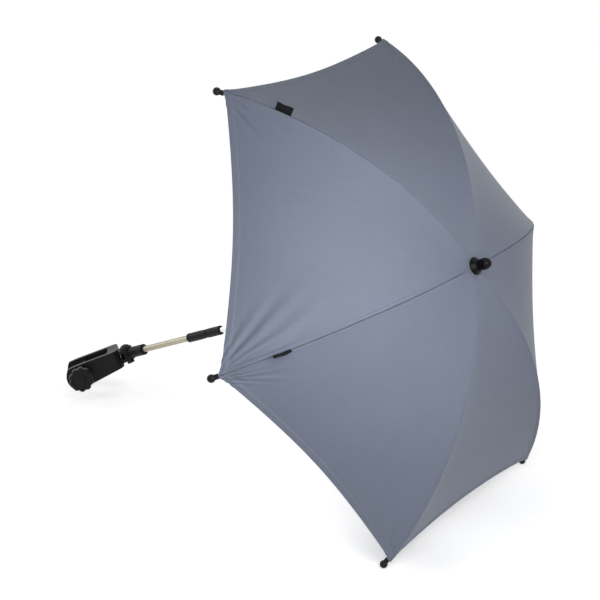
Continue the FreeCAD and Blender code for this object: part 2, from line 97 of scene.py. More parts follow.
shaft_z = -Vector(joints["runner_slide"]["axis"])
shaft_y = -Vector(joints["tilt_hinge"]["axis"])
shaft_origin = Vector(joints["tilt_hinge"]["pos_m"]) + shaft_z * TILT_DROP
SHAFT = axes(shaft_y.cross(shaft_z), shaft_y, shaft_z, shaft_origin)
clamp_x = Vector(joints["clamp_swivel"]["axis"])
clamp_y = -Vector(joints["jaw_slide"]["axis"])
CLAMP = axes(clamp_x, clamp_y, clamp_x.cross(clamp_y), Vector(joints["clamp_swivel"]["pos_m"]))


def placed(points, place):
    matrix = np.array(place)
    return np.asarray(points) @ matrix[:3, :3].T + matrix[:3, 3]


# Meshes
def grid_faces(rows, columns, wrap=False):
    faces = []
    for i in range(rows - 1):
        for j in range(columns if wrap else columns - 1):
            k = (j + 1) % columns
            here, after = i * columns, (i + 1) * columns
            faces.append((here + j, here + k, after + k, after + j))
    return faces


def piece(name, points, faces, material):
    mesh = bpy.data.meshes.new(name)
    mesh.from_pydata([tuple(p) for p in points], [], faces)
    mesh.validate()
    mesh.polygons.foreach_set("use_smooth", [True] * len(mesh.polygons))
    obj = bpy.data.objects.new(name, mesh)
    bpy.context.scene.collection.objects.link(obj)
    mesh.materials.append(material)
    return obj


def outward(obj):
    """Turns the faces of a closed mesh outward."""
    work = bmesh.new()
    work.from_mesh(obj.data)
    bmesh.ops.remove_doubles(work, verts=work.verts, dist=1e-6)
    bmesh.ops.recalc_face_normals(work, faces=work.faces)
    work.to_mesh(obj.data)
    work.free()
    return obj


def subdivided(obj, levels=2):
    modifier = obj.modifiers.new("Rounding", "SUBSURF")
    modifier.levels = levels
    modifier.render_levels = levels
    return obj


def bevelled(obj, width, segments=3):
    modifier = obj.modifiers.new("Edges", "BEVEL")
    modifier.width = width
    modifier.segments = segments
    modifier.limit_method = "ANGLE"
    modifier.angle_limit = math.radians(35)
    modifier.use_clamp_overlap = True
    modifier.harden_normals = True
    return obj


def smooth_step(low, high, value):
    t = np.clip((value - low) / (high - low), 0, 1)
    return t * t * (3 - 2 * t)


# Materials
class Nodes:
    """Short names for the nodes of a material or a world."""

    def __init__(self, tree):
        self.tree = tree

    def set(self, node, **sockets):
        for socket, value in sockets.items():
            node.inputs[socket].default_value = value

    def node(self, kind, **sockets):
        node = self.tree.nodes.new(kind)
        self.set(node, **sockets)
        return node

    def link(self, start, end):
        self.tree.links.new(start, end)

    def place(self, coordinate="Object", scale=(1, 1, 1)):
        source = self.node("ShaderNodeTexCoord")
        mapping = self.node("ShaderNodeMapping", Scale=scale)
        self.link(source.outputs[coordinate], mapping.inputs["Vector"])
        return mapping.outputs["Vector"]

    def math(self, operation, first, second=0.0):
        node = self.node("ShaderNodeMath")
        node.operation = operation
        for socket, value in zip(node.inputs, (first, second)):
            if isinstance(value, (int, float)):
                socket.default_value = value
            else:
                self.link(value, socket)
        return node.outputs[0]

    def noise(self, scale, detail=3.0, coordinate="Object", stretch=(1, 1, 1)):
        node = self.node("ShaderNodeTexNoise", Scale=scale, Detail=detail)
        self.link(self.place(coordinate, stretch), node.inputs["Vector"])
        return node.outputs["Fac"]

    def spread(self, value, low, high):
        """The value, about 0.3 to 0.7 as noise gives it, spread from low to high."""
        node = self.node("ShaderNodeMapRange")
        self.set(node, **{"From Min": 0.3, "From Max": 0.7, "To Min": low, "To Max": high})
        self.link(value, node.inputs["Value"])
        return node.outputs["Result"]

    def tinted(self, colour, factor):
        """A colour times a grey factor."""
        node = self.node("ShaderNodeVectorMath")
        node.operation = "SCALE"
        if isinstance(colour, tuple):
            node.inputs[0].default_value = colour
        else:
            self.link(colour, node.inputs[0])
        self.link(factor, node.inputs["Scale"])
        return node.outputs["Vector"]

    def seen(self):
        """1 where the camera sees a surface or the world, straight on or in metal or glass."""
        paths = self.node("ShaderNodeLightPath")
        seen = self.math("MAXIMUM", paths.outputs["Is Camera Ray"], paths.outputs["Is Glossy Ray"])
        return self.math("MAXIMUM", seen, paths.outputs["Is Transmission Ray"])

    def faded(self, place, spread, share):
        """A share that fades with the distance from a place on the floor."""
        away = self.node("ShaderNodeVectorMath")
        away.operation = "DISTANCE"
        self.link(self.place(), away.inputs[0])
        away.inputs[1].default_value = place
        part = self.math("POWER", self.math("DIVIDE", away.outputs["Value"], spread), 2.0)
        return self.math("DIVIDE", share, self.math("ADD", part, 1.0))


class Paint(Nodes):
    """A material with one Principled shader."""

    def __init__(self, name, colour, roughness, **sockets):
        self.material = bpy.data.materials.new(name)
        self.material.use_nodes = True
        super().__init__(self.material.node_tree)
        self.shader = self.tree.nodes["Principled BSDF"]
        self.set(self.shader, **{"Base Color": (*colour, 1), "Roughness": roughness}, **sockets)

    def bump(self, height, strength, distance):
        node = self.node("ShaderNodeBump", Strength=strength, Distance=distance)
        self.link(height, node.inputs["Height"])
        self.link(node.outputs["Normal"], self.shader.inputs["Normal"])

    def base(self, colour):
        self.link(colour, self.shader.inputs["Base Color"])

    def roughness(self, value):
        self.link(value, self.shader.inputs["Roughness"])


CLOTH_COLOUR = (0.205, 0.232, 0.305)
# The thread is painted a little darker than the cloth, so the rows of stitches along the seams and the
# hem also carry painted shade
SHADED_THREAD_COLOUR = (0.19, 0.215, 0.285)
THREAD_PITCH = 0.00055


def make_cloth(name, colour, depth):
    """Plain weave from the cloth's own flat coordinates, with slubs and slightly uneven dye."""
    paint = Paint(name, colour, 0.6)
    sheen = {"Sheen Weight": 0.04, "Sheen Roughness": 0.4}
    paint.set(paint.shader, **sheen, **{"Specular IOR Level": 0.25})
    flat = paint.node("ShaderNodeSeparateXYZ")
    paint.link(paint.place("UV"), flat.inputs[0])
    turns = 2 * math.pi / THREAD_PITCH
    warp = paint.math("SINE", paint.math("MULTIPLY", flat.outputs["X"], turns / 2))
    weft = paint.math("SINE", paint.math("MULTIPLY", flat.outputs["Y"], turns / 2))
    weave = paint.math("MULTIPLY", warp, weft)
    slub_warp = paint.noise(1.0, 2.0, "UV", (900, 14, 1))
    slub_weft = paint.noise(1.0, 2.0, "UV", (14, 900, 1))
    slubs = paint.math("MULTIPLY", paint.math("ADD", slub_warp, slub_weft), 0.5)
    dye = paint.noise(7.0, 3.0, "UV")
    shade = paint.math("MULTIPLY", paint.spread(slubs, 0.94, 1.06), paint.spread(dye, 0.965, 1.035))
    shade = paint.math("MULTIPLY", shade, paint.math("ADD", paint.math("MULTIPLY", weave, 0.05), 1.0))
    paint.base(paint.tinted(colour, shade))
    paint.roughness(paint.spread(slubs, 0.45, 0.57))
    height = paint.math("ADD", paint.math("MULTIPLY", weave, 0.5), paint.math("MULTIPLY", slubs, 0.5))
    paint.bump(height, depth, 0.0001)
    return paint.material


def make_plastic(name, colour, roughness, grain, depth, **sockets):
    """Moulded plastic: a fine grain, faint handling marks and slightly uneven gloss."""
    paint = Paint(name, colour, roughness, **sockets)
    fine = paint.noise(grain, 2.0)
    broad = paint.noise(60.0, 4.0)
    paint.base(paint.tinted(colour, paint.spread(broad, 0.8, 1.25)))
    paint.roughness(paint.spread(broad, roughness * 0.85, roughness * 1.15))
    paint.bump(fine, depth, 0.0002)
    return paint.material


def make_metal(name, colour, roughness, drawn):
    """Drawn metal: fine lines along the piece and uneven polish."""
    paint = Paint(name, colour, roughness, Metallic=1.0)
    lines = paint.noise(1.0, 2.0, "Object", drawn)
    broad = paint.noise(45.0, 4.0)
    paint.base(paint.tinted(colour, paint.spread(broad, 0.93, 1.05)))
    polish = paint.spread(broad, roughness * 0.7, roughness * 1.1)
    paint.roughness(paint.math("ADD", polish, paint.spread(lines, 0.0, 0.08)))
    paint.bump(lines, 0.12, 0.0001)
    return paint.material


DULL = {"Specular IOR Level": 0.2}
DULLER = {"Specular IOR Level": 0.12}
cloth = make_cloth("Cloth", CLOTH_COLOUR, 0.35)
# The thread's darker colour is partly painted shade along the stitch lines
thread = make_plastic("Thread", SHADED_THREAD_COLOUR, 0.6, 3000.0, 0.3)
label_cloth = make_plastic("LabelCloth", (0.006, 0.006, 0.007), 0.75, 2600.0, 0.5, **DULL)
steel = make_metal("Steel", (0.5, 0.5, 0.51), 0.38, (300, 300, 300))
dark_steel = make_metal("DarkSteel", (0.06, 0.06, 0.062), 0.4, (300, 300, 300))
bright_tube = make_metal("BrightTube", (0.78, 0.78, 0.79), 0.2, (40, 900, 900))
warm_tube = make_metal("WarmTube", (0.42, 0.385, 0.31), 0.3, (40, 900, 900))
black_plastic = make_plastic("BlackPlastic", (0.009, 0.009, 0.0095), 0.45, 1800.0, 0.25, **DULL)
gloss_black = make_plastic("GlossBlack", (0.0025, 0.0025, 0.003), 0.1, 500.0, 0.02, **DULLER)
tip_plastic = make_plastic("TipPlastic", (0.007, 0.007, 0.0075), 0.3, 1500.0, 0.1, **DULL)
rubber = make_plastic("Rubber", (0.012, 0.012, 0.012), 0.75, 1400.0, 0.5, **DULL)
MATERIALS = {
    "cloth": cloth,
    "label_cloth": label_cloth,
    "steel": steel,
    "dark_steel": dark_steel,
    "bright_tube": bright_tube,
    "warm_tube": warm_tube,
    "black_plastic": black_plastic,
    "gloss_black": gloss_black,
    "tip_plastic": tip_plastic,
    "rubber": rubber,
}
NODE_SLOTS = {
    "upper_tube": "bright_tube",
    "stop_pin": "steel",
    "open_catch": "steel",
    "crown": "black_plastic",
    "crown_wire": "steel",
    "ferrule": "gloss_black",
    "runner": "black_plastic",
    "knuckle_upper": "black_plastic",
    "knuckle_lower": "black_plastic",
    "tilt_pin": "steel",
    "lower_tube": "warm_tube",
    "clamp_socket": "black_plastic",
    "clamp_frame": "black_plastic",
    "swivel_bolt": "black_plastic",
    "swivel_nut": "dark_steel",
    "fixed_liner": "rubber",
    "jaw_plate": "black_plastic",
    "jaw_liner": "rubber",
    "clamp_screw": "steel",
    "clamp_knob": "black_plastic",
    "rib": "steel",
    "rib_tip": "tip_plastic",
    "stretcher": "steel",
    "canopy_panel": "cloth",
    "seam_label": "label_cloth",
}
for name, node in nodes.items():
    kind = name.rstrip("0123456789").rstrip("_")
    node.data.materials.clear()
    node.data.materials.append(MATERIALS[NODE_SLOTS[kind]])


# The cloth's form, in the shaft's frame
def bend_angle(r):
    return np.arcsin((r - BEND_R) / BEND)


TIP_ANGLE = bend_angle(RING)


def cloth_at(share, angle, lift, azimuth):
    """Points over one gore: a straight pull between two ribs, drawn in a little."""
    on_r = BEND_R + (BEND + lift) * np.sin(angle)
    on_z = BEND_Z + (BEND + lift) * np.cos(angle)
    turn = RIB_SPACE * share
    pull = math.cos(RIB_SPACE / 2) / np.cos(turn - RIB_SPACE / 2)
    sag = SAG * 4 * share * (1 - share) * on_r / RING * (1 + APEX_SAG * np.exp(-on_r / APEX_SAG_REACH))
    r = on_r * pull - sag * np.sin(angle)
    x, y = r * np.cos(azimuth + turn), r * np.sin(azimuth + turn)
    return np.stack((x, y, on_z - sag * np.cos(angle)), -1)


def rib_ridge(to_seam, width):
    """How far the rib under a seam lifts the cloth beside it."""
    return RIDGE * np.exp(-to_seam / RIDGE_SPREAD) * smooth_step(*RIDGE_WIDTHS, width)


def hem_angle(share):
    to_corner = np.minimum(share, 1 - share) * RING
    drawn = CORNER_DRAW * np.exp(-to_corner / CORNER_SPREAD)
    return TIP_ANGLE - (HEM_CORNER + HEM_RISE * 4 * share * (1 - share) - drawn) / BEND


# Creases that fan out from each tip: degrees from the rib, length and height in millimetres, and
# breadth in degrees. Below zero, the furrow lies on the rib's side. The first list is for the gore
# after the rib, the second for the gore before it.
CREASES = {
    1: ([(11, 110, 1.1, 4.0), (25, 120, 1.3, 5.0), (42, 60, 0.5, 5.0)],
        [(9, 60, 0.7, 3.0), (22, 60, 0.6, 4.0)]),
    2: ([(6, 75, 1.1, 2.4), (14, 90, 1.6, 2.8), (23, 80, 1.5, 2.6), (34, 60, 0.9, 3.2),
         (47, 40, 0.5, 4.0)],
        [(14, 140, 3.0, -4.4), (28, 135, 2.4, 5.2), (43, 95, 1.4, 5.5), (57, 50, 0.6, 4.5)]),
    3: ([(9, 80, 1.0, 3.4), (23, 60, 0.7, 4.0)],
        [(8, 90, 1.1, 3.0), (19, 100, 1.3, 3.6), (34, 60, 0.6, 4.5)]),
    4: ([(9, 70, 0.9, 3.0), (22, 60, 0.7, 4.0)], [(9, 70, 0.8, 3.2), (23, 60, 0.6, 4.0)]),
    5: ([(9, 70, 0.8, 3.2), (22, 60, 0.6, 4.0)], [(9, 70, 0.8, 3.2), (23, 60, 0.6, 4.0)]),
    6: ([(9, 80, 1.0, 3.2), (22, 60, 0.6, 4.0)], [(8, 90, 1.2, 3.0), (20, 70, 0.8, 3.6)]),
}
# A crease rises and fades over these shares of its length, and wanders by degrees over millimetres.
# Its furrow lies beside it, in shares of its breadth and height.
CREASE_START = (0.08, 0.32)
CREASE_STOP = (0.35, 1.2)
CREASE_WANDER = 1.5
CREASE_WANDER_LENGTH = 23
FURROW_OFFSET = 1.7
FURROW_DEPTH = 0.6


def tip_creases(along, side, creases):
    """Heights of the creases at points given by their ways from the tip, along and beside the rib."""
    reach = np.hypot(along, side) * 1000
    turn = np.degrees(np.arctan2(side, along))
    height = np.zeros_like(reach)
    for degrees, length, rise, breadth in creases:
        start = smooth_step(CREASE_START[0] * length, CREASE_START[1] * length, reach)
        stop = 1 - smooth_step(CREASE_STOP[0] * length, CREASE_STOP[1] * length, reach)
        bend = degrees + CREASE_WANDER * np.sin(reach / CREASE_WANDER_LENGTH + degrees)
        ridge = np.exp(-(((turn - bend) / breadth) ** 2))
        furrow = np.exp(-(((turn - bend - FURROW_OFFSET * breadth) / breadth) ** 2))
        height += rise / 1000 * start * stop * (ridge - FURROW_DEPTH * furrow)
    return height


# The hem's fold and its stitches
HEM_WIDTH = 0.008
HEM_FOLD = (HEM_WIDTH - 0.0006, HEM_WIDTH + 0.0008)
HEM_STEP = 0.00007
HEM_STITCH = 0.0064
HEM_START = 0.02
STITCH = 0.0024
STITCH_SPACE = 0.0033
STITCH_RADIUS = 0.00024
STITCH_DENT = 0.00006
STITCH_DENT_REACH = 0.0006

# Soft waves all over, puckers along the seams, ripples along the hem, and a groove at the seams. The
# turns are in radians a metre. Waves, puckers and groove grow between two widths of the gore.
WAVE_HEIGHT = 0.0006
WAVE_TURNS = (21, 17)
WAVE_WIDTHS = (0.05, 0.2)
PUCKER_HEIGHT = 0.00016
PUCKER_REACH = 0.009
PUCKER_TURNS = (430, 61)
PUCKER_WIDTHS = (0.02, 0.1)
RIPPLE_HEIGHT = 0.00012
RIPPLE_REACH = 0.008
RIPPLE_TURNS = (380, 47)
SEAM_CALM = 0.006
GROOVE = 0.0012
GROOVE_SIDES = (0.0002, 0.0008)
GROOVE_WIDTHS = (0.01, 0.03)

# A gore's rows and columns, closer together at its edges
ALONG = 141
EDGE_CROWDING = 0.7
HEM_CROWDING = 0.93
SEAM_COLUMNS = np.array([0.0, 0.0002, 0.0004, 0.0006, 0.0009])
SEAM_MARGIN = 1.3
MID_COLUMNS = 105
ACROSS = MID_COLUMNS + 2 * len(SEAM_COLUMNS)


def gore_grid(number):
    """One gore's points, normals, flat coordinates, shares across, ways to the hem and hem weights."""
    t = np.linspace(0, 1, MID_COLUMNS)
    middle = t - EDGE_CROWDING * np.sin(2 * math.pi * t) / (2 * math.pi)
    quarter = math.pi / 2 * HEM_CROWDING
    way = np.sin(np.linspace(0, quarter, ALONG)) / math.sin(quarter)
    first = bend_angle(HOLE)
    rows = []
    for part in way:
        width = BEND_R + BEND * math.sin(first + part * (hem_angle(0.0) - first))
        edge = SEAM_COLUMNS / width
        start = edge[-1] * SEAM_MARGIN
        rows.append(np.concatenate((edge, start + middle * (1 - 2 * start), 1 - edge[::-1])))
    u = np.array(rows)
    v = np.repeat(way[:, None], ACROSS, 1)
    angle = first + v * (hem_angle(u) - first)
    azimuth = FIRST_AZIMUTH + RIB_SPACE * (number - 1)
    points = cloth_at(u, angle, CLOTH_LIFT, azimuth)
    normal = np.cross(np.gradient(points, axis=0), np.gradient(points, axis=1))
    normal /= np.linalg.norm(normal, axis=2, keepdims=True)
    outside = np.array([math.cos(azimuth + RIB_SPACE / 2), math.sin(azimuth + RIB_SPACE / 2), 3.0])
    normal *= np.sign((normal * outside).sum(2, keepdims=True))

    width = BEND_R + BEND * np.sin(angle)
    to_hem = (hem_angle(u) - angle) * BEND
    to_first, to_second = u * width, (1 - u) * width
    to_seam = np.minimum(to_first, to_second)
    along = (TIP_ANGLE - angle) * BEND
    height = tip_creases(along, to_first, CREASES[number][0])
    height += tip_creases(along, to_second, CREASES[number % RIB_COUNT + 1][1])
    phase = random.uniform(0, 2 * math.pi, 6)
    x, y = (u - 0.5) * width, angle * BEND
    wave = np.sin(x * WAVE_TURNS[0] + phase[0]) * np.sin(y * WAVE_TURNS[1] + phase[1])
    height += WAVE_HEIGHT * wave * smooth_step(*WAVE_WIDTHS, width)
    pucker = np.sin(y * PUCKER_TURNS[0] + 2 * np.sin(y * PUCKER_TURNS[1] + phase[2]))
    pucker *= np.exp(-to_seam / PUCKER_REACH)
    height += PUCKER_HEIGHT * pucker * smooth_step(*PUCKER_WIDTHS, width)
    ripple = np.sin(x * RIPPLE_TURNS[0] + 2.3 * np.sin(x * RIPPLE_TURNS[1] + phase[3]))
    height += RIPPLE_HEIGHT * ripple * np.exp(-(((to_hem - HEM_WIDTH) / RIPPLE_REACH) ** 2))
    height *= smooth_step(0.0, SEAM_CALM, to_seam)
    height += rib_ridge(to_seam, width)
    height -= GROOVE * (1 - smooth_step(*GROOVE_SIDES, to_seam)) * smooth_step(*GROOVE_WIDTHS, width)
    hem = 1 - smooth_step(*HEM_FOLD, to_hem)
    dent = np.exp(-(((to_hem - HEM_STITCH) / STITCH_DENT_REACH) ** 2))
    height += HEM_STEP * hem - STITCH_DENT * dent
    points = points + normal * height[..., None]
    flat = np.stack((x, y), -1)
    return points, normal, flat, u, to_hem, hem


def stitch_row(points, normals):
    """A row of threads along a line on the cloth, each a slim closed pad.

    Returns the points, the faces and each point's share of the way along the line.
    """
    steps = np.linalg.norm(np.diff(points, axis=0), axis=1)
    way = np.concatenate(([0], np.cumsum(steps)))
    found, faces, shares = [], [], []
    rings = [(0.0, 0.25), (0.12, 0.8), (0.5, 1.0), (0.88, 0.8), (1.0, 0.25)]
    sides = 6

    def at(values, distance):
        return np.array([np.interp(distance, way, values[:, k]) for k in range(3)])

    for start in np.arange(STITCH_SPACE, way[-1] - STITCH_SPACE, STITCH_SPACE):
        base = len(found)
        ends = at(points, start), at(points, start + STITCH)
        lead = (ends[1] - ends[0]) / np.linalg.norm(ends[1] - ends[0])
        up = at(normals, start + STITCH / 2)
        up -= lead * (up @ lead)
        up /= np.linalg.norm(up)
        beside = np.cross(lead, up)
        for part, size in rings:
            middle = at(points, start + STITCH * part) + up * STITCH_RADIUS * (0.9 * size - 0.35)
            for k in range(sides):
                turn = 2 * math.pi * k / sides
                spoke = up * math.sin(turn) + beside * math.cos(turn)
                found.append(middle + STITCH_RADIUS * size * spoke)
            shares += [start / way[-1]] * sides
        faces += [tuple(base + k for k in face) for face in grid_faces(len(rings), sides, True)]
        faces.append(tuple(base + k for k in reversed(range(sides))))
        faces.append(tuple(base + (len(rings) - 1) * sides + k for k in range(sides)))
    return np.array(found), faces, np.array(shares)


HEM_THICKNESS = 0.0012
CLOTH_SHARE = 0.4


def make_gore(number):
    points, normals, flat, shares, to_hem, hem = gore_grid(number)
    row_points = placed(points.reshape(-1, 3), SHAFT)
    gore = piece(f"gore_{number}", row_points, grid_faces(ALONG, ACROSS), cloth)
    layer = gore.data.uv_layers.new(name="Flat")
    corners = np.zeros(len(gore.data.loops), np.int32)
    gore.data.loops.foreach_get("vertex_index", corners)
    layer.data.foreach_set("uv", flat.reshape(-1, 2)[corners].astype(np.float32).ravel())
    group = gore.vertex_groups.new(name="Hem")
    for index, weight in enumerate(hem.ravel()):
        if weight > 0:
            group.add([index], float(weight), "REPLACE")
    shell = gore.modifiers.new("Thickness", "SOLIDIFY")
    shell.thickness = HEM_THICKNESS
    shell.offset = -1
    shell.vertex_group = group.name
    shell.thickness_vertex_group = CLOTH_SHARE

    # The hem's row of stitches runs where the cloth is that far from its edge
    line, line_normals, line_shares = [], [], []
    for column in np.flatnonzero((shares[-1] > HEM_START) & (shares[-1] < 1 - HEM_START)):
        row = int(np.argmin(np.abs(to_hem[:, column] - HEM_STITCH)))
        line.append(points[row, column])
        line_normals.append(normals[row, column])
        line_shares.append(shares[row, column])
    line, line_normals = np.array(line), np.array(line_normals)
    found, faces, ways = stitch_row(line, line_normals)
    stitches = piece(f"hem_stitches_{number}", placed(found, SHAFT), faces, thread)
    steps = np.linalg.norm(np.diff(line, axis=0), axis=1)
    way = np.concatenate(([0], np.cumsum(steps)))
    stitch_shares = np.interp(ways, way / way[-1], line_shares)

    for obj, values in ((gore, shares.ravel()), (stitches, stitch_shares)):
        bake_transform(obj)
    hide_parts(f"canopy_panel_{number}")


# Across the felled strip beside a seam: millimetres from the rib and above the cloth
SEAM_PROFILE = [(-5.2, -0.3), (-5.05, 0.25), (-4.7, 0.55), (-4.2, 0.5), (-3.6, 0.6), (-2.6, 0.62),
                (-1.8, 0.6), (-1.3, 0.52), (-0.9, 0.62), (-0.65, 0.4), (-0.55, -0.5)]
SEAM_STEPS = 150
SEAM_START = 0.0125
SEAM_END = 0.0004
STITCH_RISE = 0.0005
SEAM_STITCHES = (-0.0042, -0.0013)


def make_seam(number):
    """The felled seam over a rib: a raised strip on the gore before it, with two rows of stitches."""
    azimuth = FIRST_AZIMUTH + RIB_SPACE * (number - 1)
    end = hem_angle(HEM_WIDTH / RING) - SEAM_END / BEND
    angles = np.linspace(bend_angle(SEAM_START), end, SEAM_STEPS)

    def at(offset, rise):
        width = BEND_R + BEND * np.sin(angles)
        share = np.minimum(abs(offset) / width, 0.49)
        ridge = rib_ridge(abs(offset), width)
        begin = azimuth
        if offset < 0:
            share = 1 - share
            begin = azimuth - RIB_SPACE
        return cloth_at(share, angles, CLOTH_LIFT + rise + ridge, begin)

    rows = [at(offset / 1000, rise / 1000) for offset, rise in SEAM_PROFILE]
    points = np.stack(rows, 1).reshape(-1, 3)
    faces = grid_faces(SEAM_STEPS, len(SEAM_PROFILE))
    band = piece(f"seam_{number}", placed(points, SHAFT), faces, cloth)
    layer = band.data.uv_layers.new(name="Flat")
    for corner, loop in zip(layer.data, band.data.loops):
        step, place = divmod(loop.vertex_index, len(SEAM_PROFILE))
        corner.uv = (SEAM_PROFILE[place][0] / 1000, angles[step] * BEND)
    out = np.sin(angles)
    up = np.stack((out * math.cos(azimuth), out * math.sin(azimuth), np.cos(angles)), -1)
    found, faces = np.zeros((0, 3)), []
    for side in SEAM_STITCHES:
        row, row_faces, _ = stitch_row(at(side, STITCH_RISE), up)
        faces += [tuple(k + len(found) for k in face) for face in row_faces]
        found = np.concatenate((found, row))
    stitches = piece(f"seam_stitches_{number}", placed(found, SHAFT), faces, thread)
    for obj in (band, stitches):
        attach(obj, f"rib_{number}")


for number in range(1, RIB_COUNT + 1):
    make_gore(number)
    make_seam(number)


# Turned and moulded pieces
def lathe(name, profile, place, steps, slot, lobes=0, lobe_depth=0.0):
    """A piece turned about z of its place.

    Each profile point gives radius and height in millimetres and its share of the lobes.
    """
    turns = np.linspace(0, 2 * math.pi, steps, endpoint=False)
    wave = (0.5 + 0.5 * np.cos(lobes * turns)) ** 1.6
    points = []
    for radius, height, share in profile:
        around = (radius - lobe_depth * share * wave) / 1000
        level = np.full(steps, height / 1000)
        points.append(np.stack((around * np.cos(turns), around * np.sin(turns), level), -1))
    points = placed(np.concatenate(points), place)
    return outward(piece(name, points, grid_faces(len(profile), steps, True), MATERIALS[slot]))


# The ferrule stands just clear of the solids' cloth, where its foot meets the ribs' arc
CLOTH_OUTER = 0.0035
FERRULE_FOOT = 0.010
PIECE_GAP = 0.0003
FERRULE_BASE = BEND_Z + (BEND + CLOTH_OUTER) * math.cos(bend_angle(FERRULE_FOOT)) + PIECE_GAP
FERRULE_PROFILE = [(0, -4.2, 0), (7, -4.2, 0), (7, -0.1, 0), (10.6, 0.0, 0), (11.3, 0.4, 0),
                   (11.5, 1.2, 0), (11.2, 2.2, 0), (10.2, 3.4, 0), (8.8, 4.6, 0), (7.7, 6.0, 0),
                   (7.2, 7.6, 0), (7.1, 9.4, 0), (7.2, 11.6, 0), (7.35, 14.0, 0), (7.3, 16.2, 0),
                   (6.9, 18.4, 0), (6.1, 20.4, 0), (4.8, 22.2, 0), (2.8, 23.5, 0), (0, 24.0, 0)]
ferrule_place = SHAFT @ Matrix.Translation((0, 0, FERRULE_BASE))
ferrule = subdivided(lathe("ferrule_nose", FERRULE_PROFILE, ferrule_place, 48, "gloss_black"))
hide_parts("ferrule")
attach(ferrule, "upper_shaft")

# The knob turns about the screw, which lies along the clamp's y
SCREW_STATION = 0.072
KNOB_FACE = 0.0295
KNOB_PROFILE = [(0, 0, 0), (10, 0, 0), (13.6, 0.05, 0.5), (15.9, 0.5, 0.9), (17.4, 1.7, 1),
                (18.0, 3.6, 1), (18.0, 7, 1), (18.0, 10.4, 1), (17.5, 12.3, 1), (16.2, 13.5, 0.9),
                (14.4, 14.0, 0.6), (13.0, 13.8, 0.3), (12.2, 13.2, 0.1), (11.3, 12.7, 0),
                (8.2, 12.6, 0), (7.3, 12.9, 0), (6.7, 13.5, 0), (5.9, 13.9, 0), (4.0, 14.0, 0),
                (0, 14.0, 0)]
KNOB_LOBES = 10
KNOB_LOBE_DEPTH = 1.8
along_screw = Matrix.Rotation(math.radians(-90), 4, "X")
screw_place = CLAMP @ Matrix.Translation((0, 0, -SCREW_STATION)) @ along_screw
knob_place = screw_place @ Matrix.Translation((0, 0, KNOB_FACE))
knob = lathe("knob_grip", KNOB_PROFILE, knob_place, 120, "black_plastic", KNOB_LOBES, KNOB_LOBE_DEPTH)
knob = subdivided(knob, 1)
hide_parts("clamp_knob")
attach(knob, "screw")

SCREW_START = -0.004
SCREW_END = 0.0365
SCREW_PITCH = 0.003
SCREW_RADIUS = 0.004
THREAD_DEPTH = 0.0006
SCREW_CHAMFER = 0.0004
SCREW_CHAMFER_LENGTH = 0.0006


def make_screw():
    """A screw with a real thread, cut as a ridge that climbs one pitch a turn."""
    sides = 40
    height = np.linspace(SCREW_START, SCREW_END, 220)
    turns = np.linspace(0, 2 * math.pi, sides, endpoint=False)
    h, t = np.meshgrid(height, turns, indexing="ij")
    phase = (h / SCREW_PITCH - t / (2 * math.pi)) % 1
    flank = np.clip(np.abs(phase - 0.5) * 4 - 0.5, 0, 1)
    ends = np.minimum(h - SCREW_START, SCREW_END - h)
    chamfer = SCREW_CHAMFER * (1 - smooth_step(0, SCREW_CHAMFER_LENGTH, ends))
    radius = SCREW_RADIUS - THREAD_DEPTH * flank - chamfer
    points = np.stack((radius * np.cos(t), radius * np.sin(t), h), -1).reshape(-1, 3)
    faces = grid_faces(len(height), sides, True)
    faces.append(tuple(range(sides)))
    faces.append(tuple(range(len(points) - sides, len(points))))
    screw = outward(piece("screw_thread", placed(points, screw_place), faces, steel))
    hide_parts("clamp_screw")
    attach(screw, "screw")


make_screw()

LABEL_LENGTH = 0.020
LABEL_HEIGHT = 0.012
LABEL_BASE = 0.0036
LABEL_FOLD = 0.0005
LABEL_BULGE = 0.0012
LABEL_WAVE = 0.0005
LABEL_TAPE = 0.0003


def make_label(number, lean):
    """A loop label: a tape that stands on the seam, folded over at its top."""
    azimuth = FIRST_AZIMUTH + RIB_SPACE * (number - 1)
    up_steps, fold_steps, long_steps = 12, 7, 17
    outline = []
    for step in range(up_steps):
        outline.append((-LABEL_FOLD, LABEL_BASE + (LABEL_HEIGHT - LABEL_FOLD) * step / up_steps))
    for step in range(fold_steps + 1):
        turn = math.pi * step / fold_steps
        top = LABEL_BASE + LABEL_HEIGHT - LABEL_FOLD
        outline.append((-LABEL_FOLD * math.cos(turn), top + LABEL_FOLD * math.sin(turn)))
    outline += [(-side, height) for side, height in reversed(outline[:up_steps])]
    middle = bend_angle(LABEL_STATION)
    beside = np.array([-math.sin(azimuth), math.cos(azimuth), 0])
    points = []
    for step in range(long_steps):
        way = step / (long_steps - 1) - 0.5
        angle = middle + way * LABEL_LENGTH / BEND
        for side, height in outline:
            share = (height - LABEL_BASE) / LABEL_HEIGHT
            bend = lean * share**2 + LABEL_WAVE * share * math.sin(way * 7 + number)
            r = BEND_R + (BEND + height) * math.sin(angle)
            z = BEND_Z + (BEND + height) * math.cos(angle)
            bulge = math.copysign(LABEL_BULGE * math.sin(math.pi * min(share, 1)) ** 2, side)
            place = np.array([r * math.cos(azimuth), r * math.sin(azimuth), z])
            points.append(place + beside * (side + bend + bulge))
    faces = grid_faces(long_steps, len(outline))
    label = piece(f"loop_label_{number}", placed(points, SHAFT), faces, label_cloth)
    shell = label.modifiers.new("Thickness", "SOLIDIFY")
    shell.thickness = LABEL_TAPE
    shell.offset = 0
    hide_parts(f"seam_label_{number}")
    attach(label, f"rib_{number}")


make_label(1, -0.0016)
make_label(2, 0.0012)

# Rounded edges on the solids
BROAD_EDGE = 0.0006
FINE_EDGE = 0.0003
BROAD_EDGES = ("crown", "runner", "knuckle_upper", "knuckle_lower", "clamp_socket", "clamp_frame",
               "jaw_plate")
FINE_EDGES = ("fixed_liner", "jaw_liner", "swivel_nut", "swivel_bolt")
for name in BROAD_EDGES:
    bevelled(nodes[name], BROAD_EDGE)
for name in FINE_EDGES:
    bevelled(nodes[name], FINE_EDGE, 2)


